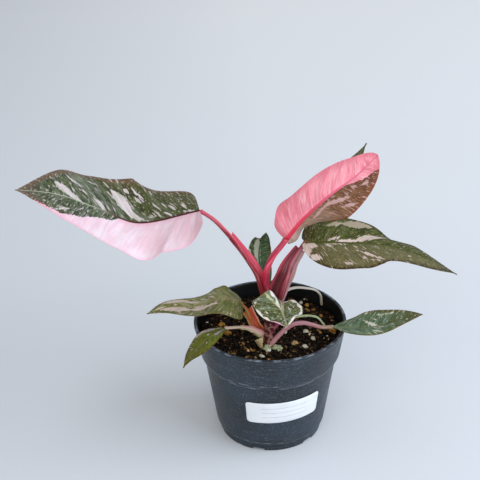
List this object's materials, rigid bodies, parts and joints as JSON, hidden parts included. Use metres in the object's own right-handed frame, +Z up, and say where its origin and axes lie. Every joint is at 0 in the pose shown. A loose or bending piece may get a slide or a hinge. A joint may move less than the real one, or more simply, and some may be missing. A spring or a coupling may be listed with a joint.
{
  "type": "potted philodendron",
  "caption": "Young variegated philodendron with pink, cream and green heart-shaped leaves on winged petioles, standing in a round plastic nursery pot filled with potting mix.",
  "frame": {"origin": "centre of the flat underside of the pot", "axes": "+Z up, +X to the right and +Y to the back as seen from the side that the label is on"},
  "size_m": [0.2984, 0.1252, 0.2177],
  "materials": {
    "pot_plastic": "moulded, satin, dark blue-grey",
    "label_paper": "blank white coated paper",
    "potting_mix": "moist peat and bark with perlite",
    "stem_bark": "young stem with scars",
    "petiole_red": "smooth living skin, crimson",
    "petiole_maroon": "smooth living skin, maroon",
    "petiole_green": "smooth living skin, pale green",
    "petiole_tan": "smooth living skin, orange-brown",
    "petiole_mauve": "smooth living skin, mauve-pink",
    "dried_strip": "dried leaf base",
    "blade_pink_dark": "waxy leaf, half pale pink and half speckled grey-green",
    "blade_pink_under": "leaf seen from its underside, pink and bronze",
    "blade_olive_cream": "waxy leaf, olive with cream-pink blotches",
    "blade_green_cream": "waxy leaf, grey-green and cream",
    "blade_olive_streaked": "waxy leaf, olive with cream-pink streaks",
    "blade_olive": "waxy leaf, olive green",
    "blade_green": "waxy leaf, green with whitish marks",
    "blade_dark_green": "waxy leaf, dark green"
  },
  "bodies": {
    "root": {"pot": "pot_plastic", "label": "label_paper", "soil": "potting_mix", "stem": "stem_bark", "leaf_1_petiole": "petiole_red", "leaf_2_petiole": "petiole_red", "leaf_3_petiole": "petiole_maroon", "leaf_4_petiole": "petiole_green", "leaf_5_petiole": "petiole_tan", "leaf_6_petiole": "petiole_tan", "leaf_7_petiole": "petiole_red", "leaf_8_petiole": "petiole_mauve", "leaf_9_petiole": "petiole_maroon", "dried_petiole": "dried_strip", "scale_leaf": "petiole_green", "dried_sheath": "dried_strip", "leaf_1_blade": "blade_pink_dark", "leaf_2_blade": "blade_pink_under", "leaf_3_blade": "blade_olive_cream", "leaf_4_blade": "blade_green_cream", "leaf_5_blade": "blade_olive_streaked", "leaf_6_blade": "blade_olive", "leaf_7_blade": "blade_green_cream", "leaf_8_blade": "blade_green", "leaf_9_blade": "blade_dark_green"}
  },
  "joints": []
}
